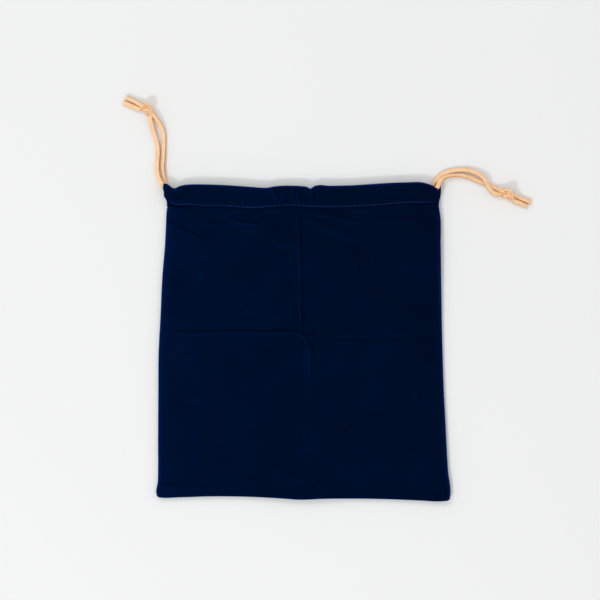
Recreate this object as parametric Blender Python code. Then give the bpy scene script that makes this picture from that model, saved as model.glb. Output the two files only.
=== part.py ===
"""Kinchaku drawstring pouch, lying flat.

Two velvet panels are sewn together at the sides and the bottom and turned right side out. The top
of each panel is folded in and stitched down as a casing, open at both ends. Two suede laces run
round the mouth through both casings, one out of each end, and each is knotted to itself.

Frame: metres, +Z up, +Y towards the mouth, front panel on top. The origin is on the surface that
the pouch lies on, under the middle of its cloth.
"""

import math

import bmesh
import bpy
from mathutils import Vector

MM = 0.001

# Cloth: pile and backing together, and the clearance kept between two layers.
CLOTH = 0.70 * MM
GAP = 0.30 * MM
LAYER = CLOTH + GAP

# Seam allowance turned in along the sides and the bottom.
ALLOWANCE = 7.0 * MM
TURN_RADIUS = LAYER / 2
TURN_OUT = TURN_RADIUS + CLOTH / 2
TURN_STEPS = 3
MITRE_GAP = 0.5 * MM
MITRE_RUN = 36.0 * MM
CORNER_PULL = 0.9 * MM

# Casing, measured down from the top fold.
CORD_DIAMETER = 2.0 * MM
CHANNEL = CORD_DIAMETER + 2 * GAP + CLOTH
CASING_TURN = CHANNEL / 2
CASING_OUT = CASING_TURN + CLOTH / 2
CASING_STEPS = 5
CHANNEL_DEPTH = 8.2 * MM
PRESSED_DEPTH = 13.0 * MM
STITCH_DEPTH = 14.3 * MM
HEM_DEPTH = 17.0 * MM
SLIT_DEPTH = 17.6 * MM
STITCH_LIFT = 0.65 * MM
LIFT_REACH = 4.3 * MM
FLAP_LEFT = -86.0 * MM
FLAP_RIGHT = 88.3 * MM

# Where the front panel comes down from the turned-in edges to lie on the back panel.
EDGE_FLAT = 8.0 * MM
EDGE_SLOPE = 11.0 * MM
HEM_SLOPE = 10.0 * MM

# Outline of the cloth as it lies, in millimetres. Top and bottom are (x, y), sides are (y, x).
TOP_EDGE = [(-92.0, 109.7), (-65.0, 110.0), (-37.0, 108.4), (-23.0, 107.9), (-9.0, 109.0),
            (5.0, 107.4), (19.0, 109.1), (47.0, 110.3), (74.0, 111.6), (88.5, 110.7)]
BOTTOM_EDGE = [(-102.6, -108.8), (-86.0, -108.9), (-37.0, -108.5), (-2.0, -110.3),
               (40.0, -109.8), (82.0, -111.1), (95.0, -111.6), (102.6, -111.0)]
LEFT_EDGE = [(-109.0, -102.6), (-105.0, -102.4), (-90.0, -101.4), (-37.0, -101.2),
             (-6.0, -100.9), (47.0, -98.3), (93.0, -95.4), (102.5, -97.5), (110.0, -92.0)]
RIGHT_EDGE = [(-111.0, 102.6), (-90.0, 101.2), (-27.0, 98.0), (36.0, 96.5), (88.0, 95.4),
              (94.5, 94.4), (102.5, 95.5), (110.6, 88.5)]

# Lines of the cloth grid: distances from an edge in millimetres, and the spans between them.
SIDE_LINES = [0.0, 7.0, 12.5, 19.0]
MIDDLE_SPANS_ACROSS = 7
BOTTOM_LINES = [0.0, 7.0, 12.5, 19.0]
MIDDLE_SPANS_UP = 6
TOP_LINES = [28.0, 22.5, 18.0, 16.6, 15.4, 14.3, 13.0, 11.2, 9.6, 8.2, 5.0]
SLIT_LINE = TOP_LINES.index(18.0)
FLAP_LINES = [5.0, 8.2, 10.6, 13.0, 14.3, 15.6, 17.0]

# Laces. Routes are in millimetres, from just outside the casing to the knot.
CORD_STEP = 8.0 * MM
CORD_TURN = math.radians(24)
CORD_FINENESS = 12
TAIL_FINENESS = 6
CORD_BEVEL_RESOLUTION = 2
UPPER_LANE = 3.3 * MM
LOWER_LANE = 6.0 * MM
LANE_STEP = 16.0 * MM
LEFT_LANE = (-86.0 * MM, 89.5 * MM)
RIGHT_LANE = (84.0 * MM, -87.2 * MM)
LOOP_STEPS = 4

LEFT_FRONT_STRAND = [(-91.5, 104.4, 6.3), (-96.2, 106.9, 5.9), (-98.7, 110.2, 5.2),
                     (-100.7, 114.5, 4.0), (-102.0, 120.8, 2.6), (-101.7, 127.1, 1.7),
                     (-101.4, 133.4, 1.5), (-102.3, 139.7, 1.8), (-104.6, 147.4, 2.6),
                     (-106.2, 154.6, 3.2), (-107.4, 159.5, 3.4)]
LEFT_BACK_STRAND = [(-90.8, 104.2, 2.0), (-94.3, 106.4, 2.0), (-96.0, 110.4, 2.0),
                    (-97.3, 115.5, 1.8), (-98.1, 121.5, 1.6), (-97.7, 127.6, 1.5),
                    (-97.5, 136.3, 1.5), (-97.5, 144.1, 1.9), (-98.7, 149.6, 2.5),
                    (-101.8, 155.0, 3.2), (-105.2, 159.3, 3.4)]
RIGHT_FRONT_STRAND = [(88.6, 107.3, 6.3), (92.4, 108.7, 6.1), (94.8, 111.4, 5.5),
                      (97.7, 113.9, 4.6), (101.7, 115.6, 3.4), (107.0, 116.3, 2.2),
                      (112.4, 115.9, 1.6), (118.3, 114.0, 1.4), (123.3, 111.8, 1.3),
                      (127.4, 110.3, 1.2), (131.3, 108.6, 1.6), (135.2, 106.9, 2.5),
                      (139.9, 105.0, 3.4)]
RIGHT_BACK_STRAND = [(87.2, 107.4, 2.0), (90.2, 109.0, 2.0), (92.4, 112.2, 2.0),
                     (96.0, 116.2, 1.9), (101.2, 118.6, 1.7), (107.0, 119.8, 1.6),
                     (112.4, 120.1, 1.7), (118.3, 119.0, 2.2), (123.3, 116.6, 3.2),
                     (126.6, 113.4, 4.2), (128.4, 109.9, 4.4), (130.0, 106.9, 3.8),
                     (132.6, 104.6, 3.0), (136.3, 103.4, 3.0), (140.3, 102.9, 3.3)]
LEFT_KNOT = (-109.0, 162.1, 3.4)
LEFT_KNOT_SIZE = (10.2, 7.8, 6.4)
LEFT_KNOT_ANGLE = math.radians(148)
LEFT_TAILS = [[(-110.2, 162.9, 3.4), (-112.8, 164.7, 3.0), (-115.8, 166.5, 2.2),
               (-119.3, 168.5, 1.5), (-123.6, 170.4, 1.2)],
              [(-110.6, 161.6, 3.4), (-113.5, 162.7, 3.0), (-117.2, 164.1, 2.0),
               (-121.2, 165.7, 1.4), (-125.6, 167.3, 1.2)]]
RIGHT_KNOT = (142.3, 102.9, 3.4)
RIGHT_KNOT_SIZE = (8.6, 9.8, 6.4)
RIGHT_KNOT_ANGLE = math.radians(-20)
RIGHT_TAILS = [[(143.6, 102.4, 3.4), (146.2, 101.1, 3.0), (151.8, 99.4, 1.7), (159.2, 97.4, 1.2)],
               [(143.6, 100.6, 3.4), (146.2, 98.7, 3.0), (151.6, 96.6, 1.7), (156.6, 94.2, 1.2)]]

# Sewing thread.
THREAD_DIAMETER = 0.30 * MM
THREAD_STEP = 10.0 * MM
CASING_ROW = (-91.8 * MM, 92.3 * MM)
SEAM_OUT = 0.70 * MM
SEAM_CORNER = 1.2 * MM
LOW_LEFT_CORNER = -110.0 * MM
LOW_RIGHT_CORNER = -111.0 * MM


def clear_scene():
    for old in list(bpy.data.objects):
        bpy.data.objects.remove(old, do_unlink=True)


def make_material(name, colour, roughness):
    material = bpy.data.materials.new(name)
    material.use_nodes = True
    shader = material.node_tree.nodes["Principled BSDF"]
    shader.inputs["Base Color"].default_value = (*colour, 1.0)
    shader.inputs["Roughness"].default_value = roughness
    shader.inputs["Metallic"].default_value = 0.0
    return material


def add_object(name, data, material):
    obj = bpy.data.objects.new(name, data)
    data.materials.append(material)
    bpy.context.collection.objects.link(obj)
    return obj


def smooth(value):
    """0 below 0, 1 above 1, and an even slope between."""
    clamped = min(max(value, 0.0), 1.0)
    return clamped * clamped * (3.0 - 2.0 * clamped)


def read_edge(knots, at):
    """Height of a smooth line through knots, given in millimetres, at a place in metres."""
    place = min(max(at / MM, knots[0][0]), knots[-1][0])
    last = len(knots) - 1
    span = next((n for n in range(last) if place <= knots[n + 1][0]), last - 1)

    def slope(index):
        before = knots[max(index - 1, 0)]
        after = knots[min(index + 1, last)]
        return (after[1] - before[1]) / (after[0] - before[0])

    (start, low), (end, high) = knots[span], knots[span + 1]
    width = end - start
    part = (place - start) / width
    bend = part * part * (3.0 - 2.0 * part)
    lead = part * (1.0 - part) ** 2 * width * slope(span)
    trail = part * part * (part - 1.0) * width * slope(span + 1)
    return (low + (high - low) * bend + lead + trail) * MM


def top_at(x):
    return read_edge(TOP_EDGE, x)


def bottom_at(x):
    return read_edge(BOTTOM_EDGE, x)


def grid_lines(low, high, low_lines, high_lines, middle_spans):
    """Lines between two edges: fixed distances from each edge and even spans between."""
    near = [low + line * MM for line in low_lines]
    far = [high - line * MM for line in high_lines]
    spread = [near[-1] + (far[0] - near[-1]) * n / middle_spans for n in range(1, middle_spans)]
    return near + spread + far


def column_places(y, in_casing):
    """Places of the grid's columns across the cloth at height y."""
    inset = 0.0 if in_casing else TURN_OUT
    left = read_edge(LEFT_EDGE, y) + inset
    right = read_edge(RIGHT_EDGE, y) - inset
    return grid_lines(left, right, SIDE_LINES, SIDE_LINES[::-1], MIDDLE_SPANS_ACROSS)


def row_places(x):
    """Heights of the grid's rows at place x."""
    low = bottom_at(x) + TURN_OUT
    lines = TOP_LINES + [CASING_OUT / MM]
    return grid_lines(low, top_at(x), BOTTOM_LINES, lines, MIDDLE_SPANS_UP)


def layer_height(number):
    """Middle of a pressed layer of cloth, counted up from the surface below."""
    return CLOTH / 2 + number * LAYER


def stitch_lift(depth):
    """The pull of the stitching raises every layer a little along the row."""
    reach = min(abs(depth - STITCH_DEPTH) / LIFT_REACH, 1.0)
    return STITCH_LIFT * math.cos(reach * math.pi / 2) ** 2


def channel_rise(depth):
    """1 where the casing stands open round the laces, 0 where it is pressed."""
    return 1.0 - smooth((depth - CHANNEL_DEPTH) / (PRESSED_DEPTH - CHANNEL_DEPTH))


def edge_rise(from_side, from_bottom, from_top):
    """1 where the turned-in layers lift the front panel, 0 where it lies on the back panel."""
    side = 1.0 - smooth((from_side - EDGE_FLAT) / EDGE_SLOPE)
    bottom = 1.0 - smooth((from_bottom - EDGE_FLAT) / EDGE_SLOPE)
    hem = 1.0 - smooth((from_top - SLIT_DEPTH) / HEM_SLOPE)
    return max(side, bottom, hem)


def back_height(from_side, from_bottom, from_top):
    return layer_height(0) + stitch_lift(from_top)


def front_height(from_side, from_bottom, from_top):
    pressed = layer_height(1) + 2 * LAYER * edge_rise(from_side, from_bottom, from_top)
    opened = 2 * CHANNEL + LAYER - 3 * LAYER
    return pressed + opened * channel_rise(from_top) + stitch_lift(from_top)


def back_flap_height(depth):
    return layer_height(1) + (CHANNEL - LAYER) * channel_rise(depth) + stitch_lift(depth)


def front_flap_height(depth):
    return back_flap_height(depth) + LAYER


def main_sheet(height_of):
    """Grid of points, column by column, of a panel's outer layer, and the row where the slit ends."""
    rows = len(row_places(0.0))
    slit_row = rows - 1 - len(TOP_LINES) + SLIT_LINE
    columns = len(column_places(0.0, False))
    sheet = []
    for i in range(columns):
        line = []
        for j in range(rows):
            in_casing = j > slit_row
            rough_x = column_places(row_places(0.0)[j], in_casing)[i]
            y = row_places(rough_x)[j]
            places = column_places(y, in_casing)
            x = places[i]
            from_side = min(x - places[0], places[-1] - x)
            from_bottom = y - bottom_at(x) - TURN_OUT
            line.append(Vector((x, y, height_of(from_side, from_bottom, top_at(x) - y))))
        sheet.append(line)
    for i, side in ((0, 1), (-1, -1)):
        sheet[i][0] += Vector((side * CORNER_PULL, CORNER_PULL, 0.0))
    return sheet, slit_row


def turn(start, outward, height_change, steps):
    """Points of a half-round fold that leaves start outwards and comes back over or under it."""
    points = []
    for k in range(1, steps + 1):
        angle = math.pi * k / steps
        out = abs(height_change) / 2 * math.sin(angle)
        up = height_change / 2 * (1.0 - math.cos(angle))
        points.append(start + outward * out + Vector((0, 0, up)))
    return points


def allowance_strip(edge, outward, along, height_change):
    """Rows of points of a turned-in seam allowance, for a list of points along an edge."""
    strip = []
    for point in edge:
        line = turn(point, outward, height_change, TURN_STEPS)
        from_start = (point - edge[0]).length
        from_end = (point - edge[-1]).length
        mitre = ALLOWANCE + MITRE_GAP
        shift = mitre * (1.0 - smooth(from_start / MITRE_RUN))
        if abs(outward.y) > 0:
            shift -= mitre * (1.0 - smooth(from_end / MITRE_RUN))
        line.append(line[-1] - outward * ALLOWANCE + along * shift)
        strip.append(line)
    return strip


def casing_flap(edge, flap_height, height_change):
    """Rows of points of the top fold and the flap that it lays inside the panel."""
    left, right = edge[0].x, edge[-1].x
    strip = []
    for point in edge:
        share = (point.x - left) / (right - left)
        inner_x = FLAP_LEFT + share * (FLAP_RIGHT - FLAP_LEFT)
        line = turn(point, Vector((0, 1, 0)), height_change, CASING_STEPS)
        for k, place in enumerate(line, start=1):
            place.x += (inner_x - point.x) * k / CASING_STEPS
        for depth in FLAP_LINES:
            y = top_at(inner_x) - depth * MM
            line.append(Vector((inner_x, y, flap_height(depth * MM))))
        strip.append(line)
    return strip


def add_strip(mesh, edge_verts, strip):
    """Sew a strip of new points on to a row of existing vertices."""
    rows = []
    for start, line in zip(edge_verts, strip):
        rows.append([start] + [mesh.verts.new(place) for place in line])
    for here, there in zip(rows, rows[1:]):
        for k in range(len(here) - 1):
            mesh.faces.new((here[k], here[k + 1], there[k + 1], there[k]))


def make_panel(name, height_of, flap_height, side_turn, casing_turn, material):
    """One panel: a single sheet with its casing and its seam allowances folded in."""
    sheet, slit_row = main_sheet(height_of)
    mesh = bmesh.new()
    verts = [[mesh.verts.new(place) for place in line] for line in sheet]
    for i in range(len(verts) - 1):
        for j in range(len(verts[0]) - 1):
            mesh.faces.new((verts[i][j], verts[i + 1][j], verts[i + 1][j + 1], verts[i][j + 1]))
    for i, out in ((0, -1), (-1, 1)):
        side = verts[i][:slit_row + 1]
        strip = allowance_strip([v.co.copy() for v in side], Vector((out, 0, 0)),
                                Vector((0, 1, 0)), side_turn)
        add_strip(mesh, side, strip)
    bottom = [line[0] for line in verts]
    strip = allowance_strip([v.co.copy() for v in bottom], Vector((0, -1, 0)),
                            Vector((1, 0, 0)), side_turn)
    add_strip(mesh, bottom, strip)
    top = [line[-1] for line in verts]
    add_strip(mesh, top, casing_flap([v.co.copy() for v in top], flap_height, casing_turn))
    bmesh.ops.recalc_face_normals(mesh, faces=mesh.faces)
    data = bpy.data.meshes.new(name)
    mesh.to_mesh(data)
    mesh.free()
    data.shade_smooth()
    panel = add_object(name, data, material)
    thicken = panel.modifiers.new("cloth", 'SOLIDIFY')
    thicken.thickness = CLOTH
    thicken.offset = 0.0
    thicken.use_even_offset = True
    return panel


def in_metres(route):
    return [Vector(place) * MM for place in route]


def smooth_curve(points, fineness):
    """A dense smooth curve through points."""
    ends = [points[0] * 2 - points[1]] + points + [points[-1] * 2 - points[-2]]
    curve = []
    for n in range(1, len(ends) - 2):
        before, start, end, after = ends[n - 1:n + 3]
        chord = (end - start).length
        leave = (end - before) * (chord / ((end - start).length + (start - before).length))
        arrive = (after - start) * (chord / ((after - end).length + (end - start).length))
        for k in range(fineness):
            t = k / fineness
            curve.append(start * (2 * t ** 3 - 3 * t ** 2 + 1) + leave * (t ** 3 - 2 * t ** 2 + t)
                         + end * (3 * t ** 2 - 2 * t ** 3) + arrive * (t ** 3 - t ** 2))
    curve.append(points[-1].copy())
    return curve


def thin_out(curve, longest, sharpest):
    """Keep a point of a dense curve where enough length or enough turning has gone by."""
    kept = [curve[0]]
    heading = curve[1] - curve[0]
    for n in range(1, len(curve) - 1):
        onward = curve[n + 1] - curve[n]
        far = (curve[n] - kept[-1]).length > longest
        if far or heading.angle(onward) > sharpest:
            kept.append(curve[n])
            heading = onward
    if (kept[-1] - curve[-1]).length < longest / 4:
        kept.pop()
    return kept + [curve[-1]]


def tube_mesh(name, points, diameter, resolution):
    """Mesh of a round tube with closed ends along points."""
    curve = bpy.data.curves.new(name, 'CURVE')
    curve.dimensions = '3D'
    curve.bevel_depth = diameter / 2
    curve.bevel_resolution = resolution
    curve.use_fill_caps = True
    spline = curve.splines.new('POLY')
    spline.points.add(len(points) - 1)
    for target, place in zip(spline.points, points):
        target.co = (*place, 1.0)
    holder = bpy.data.objects.new(name + "_curve", curve)
    bpy.context.collection.objects.link(holder)
    bpy.context.view_layer.update()
    data = bpy.data.meshes.new_from_object(holder)
    data.name = name
    bpy.data.objects.remove(holder, do_unlink=True)
    data.shade_smooth()
    return data


def add_operand(obj, data):
    """Join one more closed shape to obj with a Boolean union."""
    operand = bpy.data.objects.new(data.name, data)
    bpy.context.collection.objects.link(operand)
    operand.hide_render = True
    operand.display_type = 'WIRE'
    union = obj.modifiers.new(data.name, 'BOOLEAN')
    union.operation = 'UNION'
    union.solver = 'EXACT'
    union.object = operand


def knot_mesh(name, centre, size, angle):
    """Rounded lump of a pulled-tight knot."""
    mesh = bmesh.new()
    bmesh.ops.create_icosphere(mesh, subdivisions=2, radius=0.5)
    bmesh.ops.scale(mesh, vec=Vector(size) * MM, verts=mesh.verts)
    data = bpy.data.meshes.new(name)
    mesh.to_mesh(data)
    mesh.free()
    cosine, sine = math.cos(angle), math.sin(angle)
    for vert in data.vertices:
        x, y, z = vert.co
        turned = Vector((x * cosine - y * sine, x * sine + y * cosine, z))
        vert.co = turned + Vector(centre) * MM
    data.shade_smooth()
    return data


def casing_run(lane, lane_depth):
    """Route of a lace through the front casing, round at its far end, and back."""
    start, far = lane
    steps = round(abs(far - start) / LANE_STEP)
    front_z = layer_height(0) + LAYER + 1.5 * CHANNEL
    back_z = layer_height(0) + 0.5 * CHANNEL
    across = [start + (far - start) * n / steps for n in range(steps + 1)]
    there = [Vector((x, top_at(x) - lane_depth, front_z)) for x in across]
    back = [Vector((x, top_at(x) - lane_depth, back_z)) for x in reversed(across)]
    radius = (front_z - back_z) / 2
    onward = 1 if far > start else -1
    loop = []
    for k in range(1, LOOP_STEPS):
        angle = math.pi * k / LOOP_STEPS
        loop.append(Vector((far + onward * radius * math.sin(angle), top_at(far) - lane_depth,
                            back_z + radius * (1 + math.cos(angle)))))
    return there + loop + back


def make_drawcord(name, strands, lane, lane_depth, knot, tails, material):
    """One lace: out of the casing as two strands, knotted together, with two short tails."""
    front_strand, back_strand = (in_metres(strand) for strand in strands)
    route = front_strand[::-1] + casing_run(lane, lane_depth) + back_strand
    points = thin_out(smooth_curve(route, CORD_FINENESS), CORD_STEP, CORD_TURN)
    cord = add_object(name, tube_mesh(name, points, CORD_DIAMETER, CORD_BEVEL_RESOLUTION), material)
    add_operand(cord, knot_mesh(name + "_knot_shape", *knot))
    for number, tail in enumerate(tails, start=1):
        curve = smooth_curve(in_metres(tail), TAIL_FINENESS)
        points = thin_out(curve, 3 * CORD_DIAMETER, CORD_TURN)
        label = f"{name}_tail_shape_{number}"
        add_operand(cord, tube_mesh(label, points, CORD_DIAMETER, CORD_BEVEL_RESOLUTION))
    return cord


def casing_thread_points(height):
    """Points along a casing's row of stitches."""
    start, end = CASING_ROW
    steps = round((end - start) / THREAD_STEP)
    places = [start + (end - start) * n / steps for n in range(steps + 1)]
    return [Vector((x, top_at(x) - STITCH_DEPTH, height)) for x in places]


def seam_thread_points():
    """Points of the seam's thread, in the groove between the panels: down, along and up."""
    height = layer_height(1.5)
    slit = top_at(0.0) - SLIT_DEPTH
    corner = TURN_OUT + SEAM_CORNER
    inset = TURN_OUT - SEAM_OUT
    left_x = read_edge(LEFT_EDGE, LOW_LEFT_CORNER)
    right_x = read_edge(RIGHT_EDGE, LOW_RIGHT_CORNER)
    low_left = bottom_at(left_x) + corner
    low_right = bottom_at(right_x) + corner
    steps = round((slit - low_left) / THREAD_STEP)
    down = [slit + (low_left - slit) * n / steps for n in range(steps + 1)]
    up = [low_right + (slit - low_right) * n / steps for n in range(steps + 1)]
    span = right_x - left_x - 2 * corner
    along = [left_x + corner + span * n / steps for n in range(steps + 1)]
    points = [Vector((read_edge(LEFT_EDGE, y) + inset, y, height)) for y in down]
    points += [Vector((x, bottom_at(x) + inset, height)) for x in along]
    points += [Vector((read_edge(RIGHT_EDGE, y) - inset, y, height)) for y in up]
    return points


def build():
    clear_scene()
    velvet = make_material("navy_velvet", (0.002, 0.006, 0.035), 0.9)
    suede = make_material("tan_suede", (0.93, 0.62, 0.34), 0.85)
    thread = make_material("navy_thread", (0.010, 0.035, 0.150), 0.6)

    make_panel("back_panel", back_height, back_flap_height, LAYER, CHANNEL, velvet)
    make_panel("front_panel", front_height, front_flap_height, -LAYER, -CHANNEL, velvet)

    make_drawcord("left_drawcord", (LEFT_FRONT_STRAND, LEFT_BACK_STRAND), LEFT_LANE, LOWER_LANE,
                  (LEFT_KNOT, LEFT_KNOT_SIZE, LEFT_KNOT_ANGLE), LEFT_TAILS, suede)
    make_drawcord("right_drawcord", (RIGHT_FRONT_STRAND, RIGHT_BACK_STRAND), RIGHT_LANE, UPPER_LANE,
                  (RIGHT_KNOT, RIGHT_KNOT_SIZE, RIGHT_KNOT_ANGLE), RIGHT_TAILS, suede)

    clear = GAP + THREAD_DIAMETER / 2
    front_row = layer_height(3) + STITCH_LIFT + CLOTH / 2 + clear
    back_row = layer_height(0) + STITCH_LIFT - CLOTH / 2 - clear
    rows = (("front_casing_stitching", casing_thread_points(front_row)),
            ("back_casing_stitching", casing_thread_points(back_row)),
            ("seam_stitching", seam_thread_points()))
    for name, points in rows:
        add_object(name, tube_mesh(name, points, THREAD_DIAMETER, 1), thread)


build()
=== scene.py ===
"""Looks of the kinchaku drawstring pouch: velvet, suede laces, stitches, light and camera.

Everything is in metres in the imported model's frame: +Z up, +Y towards the mouth, and the origin on
the surface that the pouch lies on. Lists of places are in millimetres.
"""

import math

import bmesh
import bpy
import numpy as np
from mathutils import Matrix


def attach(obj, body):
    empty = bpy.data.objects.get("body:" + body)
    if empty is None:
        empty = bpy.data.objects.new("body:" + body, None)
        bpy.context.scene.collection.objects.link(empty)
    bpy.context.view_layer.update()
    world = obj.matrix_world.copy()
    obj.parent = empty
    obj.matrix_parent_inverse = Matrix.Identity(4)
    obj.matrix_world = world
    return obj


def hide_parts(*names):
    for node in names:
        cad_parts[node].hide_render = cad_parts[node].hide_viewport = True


MM = 0.001
UP = np.array((0.0, 0.0, 1.0))

# Camera: straight above the pouch.
CAMERA_HEIGHT = 1.2
SENSOR_WIDTH = 36.0
FRAME_WIDTH = 0.420
FRAME_CENTRE = (-2.2 * MM, 29.0 * MM)

# Stage: each lamp's direction, distance, size and power, then the world's strength and the floor.
KEY_LIGHT = ((-0.58, -0.98, 1.0), 2.5, 0.34, 18.8)
FILL_LIGHT = ((-0.45, 0.9, 1.0), 3.0, 1.0, 15.0)
WORLD_STRENGTH = 0.78
FLOOR_HALF = 3.0
FLOOR_COLOUR = (0.805, 0.808, 0.808, 1.0)

# Cloth and its layers, in millimetres: pile and backing together, and the height of each layer's middle.
CLOTH = 0.70
PRESS = 0.78
BACK_REST = 0.36
MIDDLE_LOFT = 1.25

# Casing, measured down from the top fold, in millimetres.
CHANNEL = 2.45
CHANNEL_DEPTH = 8.6
PRESSED_DEPTH = 13.2
STITCH_DEPTH = 14.3
HEM_DEPTH = 17.0
SLIT_DEPTH = 18.0
FLAP_DEPTHS = (4.5, 7.0, CHANNEL_DEPTH, 10.0, 11.6, PRESSED_DEPTH, STITCH_DEPTH, 15.6, HEM_DEPTH)
FLAP_SPAN = (-88.0, 88.6)

# Pile: how far rubbed lines (partly a painted ridge highlight), marks and slopes (painted light and shade)
# change it, its sweep across the panel (a painted fall-off of light) and its rims (painted rim sheen).
RUBBED_PILE_AND_RIDGE_HIGHLIGHT = 0.35
NAP_MARK = 1.3
PAINTED_SLOPE_SHADE = 1.1
PAINTED_SLOPE_LIGHT = 0.5
PAINTED_SLOPE_DARK = 1.35
PAINTED_LIGHT_SWEEP = 0.06
PAINTED_RIM_SHEEN = 0.9

# Relief of the panels, in millimetres: how the stitches pull the cloth in, the ripple of the two
# laces in the casing, and the flat rim and slopes round the front panel's middle.
FRONT_PINCH = 0.45
BACK_PINCH = 0.35
PINCH_WIDTH = 1.0
LANE_RIPPLE = 0.16
RIM_FLAT = 3.0
RIM_SLOPE = 20.0
HEM_SLOPE = 14.0

# Seam allowance: its width, the shares of it that have rows of points, and how it narrows at corners.
ALLOWANCE = 7.0
ALLOWANCE_SHARES = (0.3, 1.0)
MITRE_GAP = 0.3
MITRE_LENGTH = 36.0
TURN_STEPS = 6
CASING_STEPS = 8

# Lace, in millimetres.
LACE_WIDTH = 3.1
LACE_THICKNESS = 1.65
LACE_STEP = 0.8
UPPER_LANE = 3.3
LOWER_LANE = 6.5
LANE_STEP = 16.0
LEFT_LANE = (-86.0, 89.5)
RIGHT_LANE = (84.0, -87.2)
SETTLE = 0.76
FLOOR_GAP = 0.04

# Knots: two strands tied in one overhand knot, in millimetres.
KNOT_SPACING = 1.68
KNOT_HALF = 4.6
KNOT_REACH = 5.4
KNOT_JOIN = 2.4
KNOT_WIDTH = 2.05
KNOT_THICKNESS = 1.62
# How the knot is drawn tight in each round.
KNOT_ROUNDS = 2400
KNOT_PULL = 0.02
KNOT_STRETCH = 1.03
KNOT_EASE = 0.01
KNOT_CENTRING = 0.002
KNOT_SMOOTHING = 0.06
KNOT_FLATTENING = 0.99
KNOT_PUSH = 0.3

# Outline of the cloth. Top and bottom are (x, y), sides are (y, x). Most points were picked from the
# cloth's edge as a separate program measured it in the photograph, and a few were moved by eye.
TOP_EDGE = [(-98.2, 109.6), (-96.6, 110.2), (-95.0, 109.8), (-92.2, 107.7), (-89.8, 106.2),
            (-87.2, 107.7), (-83.0, 109.1), (-79.2, 109.5), (-65.2, 109.6), (-51.2, 109.0),
            (-37.2, 108.0), (-24.5, 107.3), (-19.7, 108.2), (-9.2, 108.7), (-2.2, 108.4), (2.4, 107.9),
            (5.1, 106.5), (8.0, 108.4), (18.8, 108.7), (32.8, 109.0), (46.8, 109.9), (60.8, 110.7),
            (72.0, 111.0), (83.5, 110.9), (86.8, 110.0), (89.6, 108.9), (91.6, 107.4), (93.2, 106.4),
            (95.6, 108.8)]
BOTTOM_EDGE = [(-102.6, -108.6), (-99.5, -109.1), (-86.0, -108.9), (-65.0, -108.2), (-37.0, -108.5),
               (-16.0, -109.5), (-2.0, -110.4), (12.0, -109.9), (40.0, -109.8), (68.0, -110.5),
               (82.0, -111.1), (96.0, -111.6), (102.6, -111.0)]
LEFT_EDGE = [(-109.4, -100.9), (-108.2, -102.0), (-106.0, -102.6), (-98.0, -101.6), (-90.0, -101.4),
             (-69.0, -101.4), (-37.0, -101.2), (-6.0, -100.9), (15.0, -99.8), (47.0, -98.3),
             (68.0, -96.5), (88.6, -95.6), (96.0, -95.2), (99.0, -95.6), (101.6, -97.0), (104.0, -97.1),
             (107.5, -97.7), (111.0, -96.4)]
RIGHT_EDGE = [(-111.5, 100.9), (-110.4, 102.1), (-107.8, 102.6), (-90.0, 101.2), (-58.5, 99.5),
              (-27.0, 98.0), (4.6, 97.1), (36.0, 96.5), (67.6, 96.0), (88.6, 95.7), (95.0, 94.8),
              (98.0, 95.0), (101.5, 95.4), (104.0, 94.9), (106.0, 93.6), (108.0, 92.2), (112.0, 91.4)]
BACK_RIGHT_EDGE = RIGHT_EDGE[:11] + [(98.0, 95.3), (101.5, 96.1), (104.4, 96.5), (108.0, 96.2), (112.0, 95.0)]

# The front casing's row of stitches.
STITCH_LINE = [(-96.0, 97.0), (-91.8, 96.6), (-87.6, 95.7), (-81.3, 96.0), (-72.2, 95.3), (-54.7, 94.9),
               (-37.0, 93.7), (-21.8, 94.5), (-9.2, 95.4), (4.8, 94.5), (32.8, 94.5), (53.8, 95.7),
               (67.8, 97.0), (95.0, 97.4)]
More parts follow.
